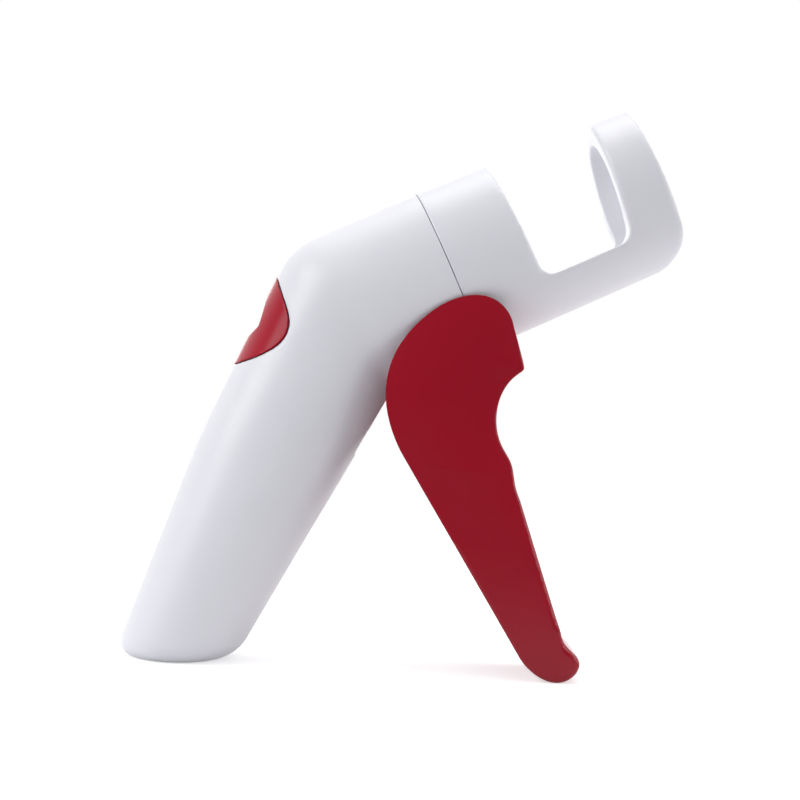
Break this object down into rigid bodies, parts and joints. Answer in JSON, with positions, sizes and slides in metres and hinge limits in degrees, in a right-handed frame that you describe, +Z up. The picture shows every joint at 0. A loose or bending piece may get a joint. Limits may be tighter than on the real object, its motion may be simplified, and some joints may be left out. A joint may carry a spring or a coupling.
{
  "type": "hand-held fruit pitter with lever",
  "caption": "Hand-held pitter: tilted barrel with a fruit pocket on a leaning handle, squeeze lever that drives a sprung plunger through the pocket, thumb lock.",
  "frame": {"origin": "middle of the bounding box in X and Y, on the surface that the handle's foot and the lever's tip stand on", "axes": "+Z up, +X towards the fruit pocket, Y across the width; -Y is the side the picture shows"},
  "size_m": [0.1212, 0.0396, 0.1285],
  "materials": {
    "white_shell": "satin moulded",
    "red_lever": "gloss moulded",
    "red_insert": "gloss moulded",
    "steel_pin": "ground",
    "steel_wire": "drawn wire",
    "screw_steel": "zinc plated",
    "inner_plastic": "low-friction moulded",
    "gate_rubber": "matte",
    "white_ring": "satin moulded",
    "tip_plastic": "satin moulded"
  },
  "bodies": {
    "housing": {"near_body_shell": "white_shell", "far_body_shell": "white_shell", "shell_screws": "screw_steel", "pitting_head": "white_shell", "pit_gate": "gate_rubber", "gate_ring": "white_ring", "guide_bush": "inner_plastic", "carriage_rail": "inner_plastic", "pivot_bushes": "inner_plastic", "thumb_rest": "red_insert"},
    "lever": {"lever": "red_lever", "pivot_pin": "steel_pin", "drive_pin": "steel_pin"},
    "plunger": {"plunger_carriage": "inner_plastic", "plunger_rod": "steel_pin", "plunger_tip": "tip_plastic", "rod_clip": "steel_wire", "spring_washer": "steel_pin", "return_spring": "steel_wire"},
    "lock": {"lock_slide": "red_insert", "lock_bar": "inner_plastic"}
  },
  "joints": [
    {"name": "lever_squeeze", "type": "hinge", "parent": "housing", "child": "lever", "pos_m": [0.01216, 0, 0.06584], "axis": [0, 1, 0], "range_deg": [0, 50], "stiffness_Nm_per_rad": 0.25, "springref_deg": -28.65},
    {"name": "plunger_stroke", "type": "slide", "parent": "housing", "child": "plunger", "axis": [0.8965, 0, 0.4431], "range_m": [0, 0.0279], "deforming": ["return_spring"]},
    {"name": "lock_slide_travel", "type": "slide", "parent": "housing", "child": "lock", "axis": [0.3931, 0, 0.9195], "range_m": [0, 0.004]}
  ],
  "couplings": [
    {"joint": "plunger_stroke", "follows": "lever_squeeze", "m_per_rad": 0.031963}
  ]
}
